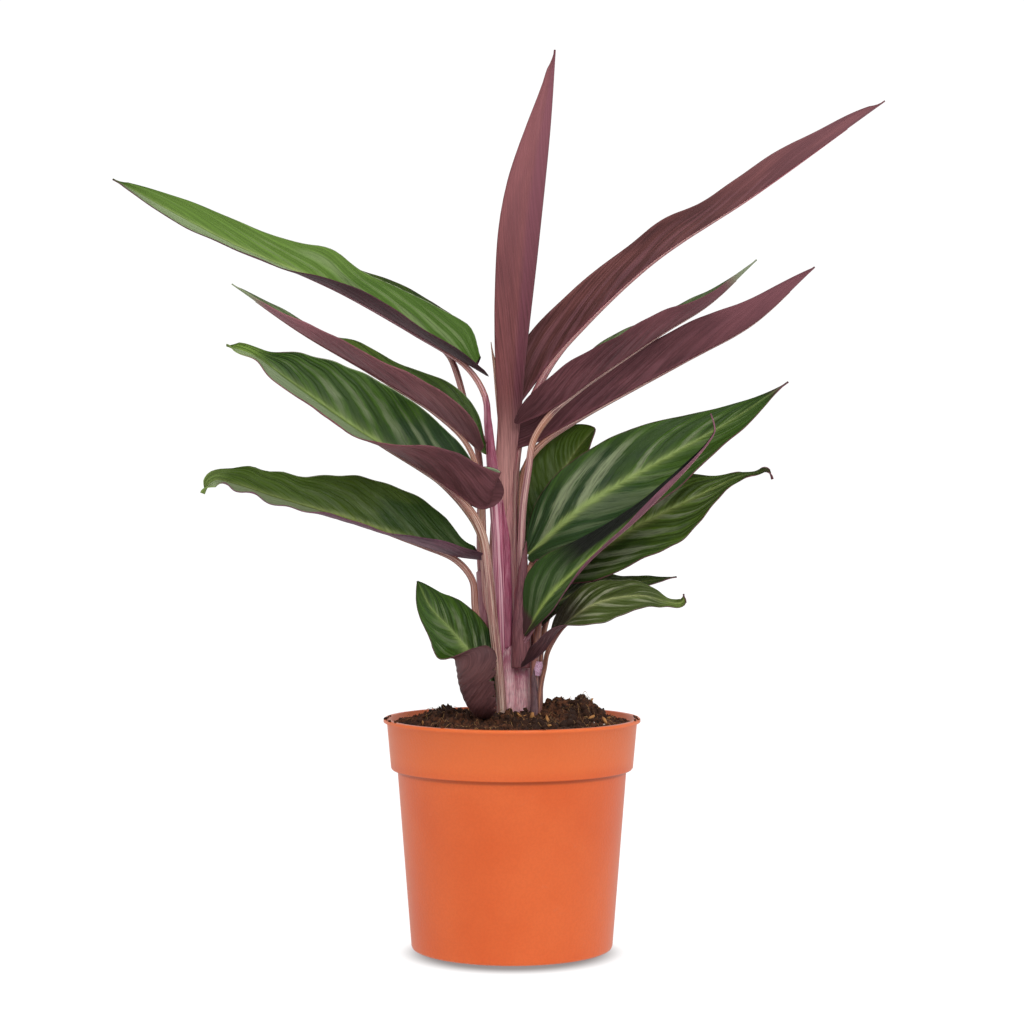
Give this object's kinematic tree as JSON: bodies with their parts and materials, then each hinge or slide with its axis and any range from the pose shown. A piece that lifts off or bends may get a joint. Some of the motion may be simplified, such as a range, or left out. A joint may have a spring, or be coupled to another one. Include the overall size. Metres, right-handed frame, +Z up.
{
  "type": "potted foliage plant",
  "caption": "Small clump of long folded striped leaves, green above and maroon beneath, on thin stalks in a round tapered nursery pot with a collar.",
  "frame": {"origin": "centre of the pot's underside, on the surface it stands on", "axes": "+Z up out of the pot, +X to the right and -Y to the front as the plant is seen in the picture"},
  "size_m": [0.3703, 0.1211, 0.4192],
  "materials": {
    "pot": "satin terracotta-orange moulded plastic",
    "potting_mix": "dark moist peat and coir",
    "leaf_bright": "satin leaf, bright green with pale stripes, maroon beneath",
    "leaf_dark": "satin leaf, dark green with grey-green stripes, maroon beneath",
    "leaf_maroon": "satin leaf seen from its maroon underside",
    "stalk": "smooth pink-tan leaf stalk",
    "sheath": "smooth rolled sheath, pink to mauve with maroon margins"
  },
  "bodies": {
    "root": {"pot": "pot", "potting_mix": "potting_mix", "leaf_spear": "leaf_maroon", "leaf_right_1": "leaf_maroon", "leaf_right_2": "leaf_maroon", "leaf_right_3": "leaf_maroon", "leaf_right_4": "leaf_bright", "leaf_right_5": "leaf_dark", "leaf_right_6": "leaf_bright", "leaf_right_7": "leaf_dark", "leaf_right_8": "leaf_bright", "leaf_right_9": "leaf_dark", "leaf_left_1": "leaf_bright", "leaf_left_2": "leaf_dark", "leaf_left_3": "leaf_dark", "leaf_left_4": "leaf_dark", "leaf_left_5": "leaf_dark", "leaf_left_6": "leaf_dark", "sheath_spear": "sheath", "sheath_right": "sheath", "stalk_right_1": "stalk", "stalk_right_2": "stalk", "stalk_right_3": "stalk", "stalk_right_4": "stalk", "stalk_right_5": "stalk", "stalk_right_6": "stalk", "stalk_right_7": "stalk", "stalk_right_8": "stalk", "stalk_right_9": "stalk", "stalk_left_1": "stalk", "stalk_left_2": "stalk", "stalk_left_3": "stalk", "stalk_left_4": "stalk", "stalk_left_5": "stalk", "stalk_left_6": "stalk"}
  },
  "joints": []
}
